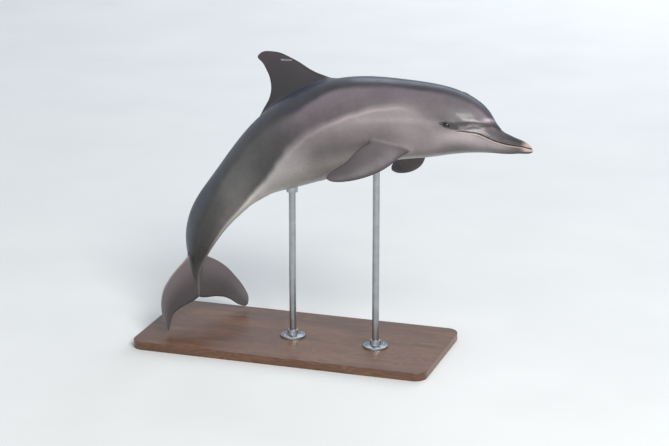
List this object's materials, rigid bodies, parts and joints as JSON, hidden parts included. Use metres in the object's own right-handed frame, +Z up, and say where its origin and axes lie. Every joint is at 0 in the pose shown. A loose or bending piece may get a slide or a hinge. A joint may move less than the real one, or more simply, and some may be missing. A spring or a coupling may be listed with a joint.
{
  "type": "bottlenose dolphin",
  "caption": "Life-size still model of a leaping bottlenose dolphin, body arched, held over a flat base by upright rods.",
  "frame": {"origin": "middle of the base's underside", "axes": "+X the way the dolphin heads, +Y its left side, +Z up"},
  "size_m": [1.85, 0.7011, 1.3904],
  "materials": {
    "skin_grey": "gloss",
    "skin_dark": "gloss",
    "skin_pale": "gloss",
    "eye": "polished",
    "base_wood": "satin",
    "stand_steel": "satin"
  },
  "bodies": {
    "root": {"upper_jaw": "skin_dark", "lower_jaw": "skin_pale", "melon": "skin_dark", "head": "skin_dark", "neck": "skin_grey", "chest": "skin_grey", "trunk": "skin_grey", "loins": "skin_grey", "tail_stock": "skin_dark", "dorsal_fin": "skin_dark", "flipper_right": "skin_grey", "flipper_left": "skin_grey", "fluke_right": "skin_dark", "fluke_left": "skin_dark", "eye_right": "eye", "eye_left": "eye", "stand_base": "base_wood", "stand_flange_front": "stand_steel", "stand_flange_rear": "stand_steel", "stand_rod_front": "stand_steel", "stand_rod_rear": "stand_steel", "stand_collar_front": "stand_steel", "stand_collar_rear": "stand_steel"}
  },
  "joints": []
}
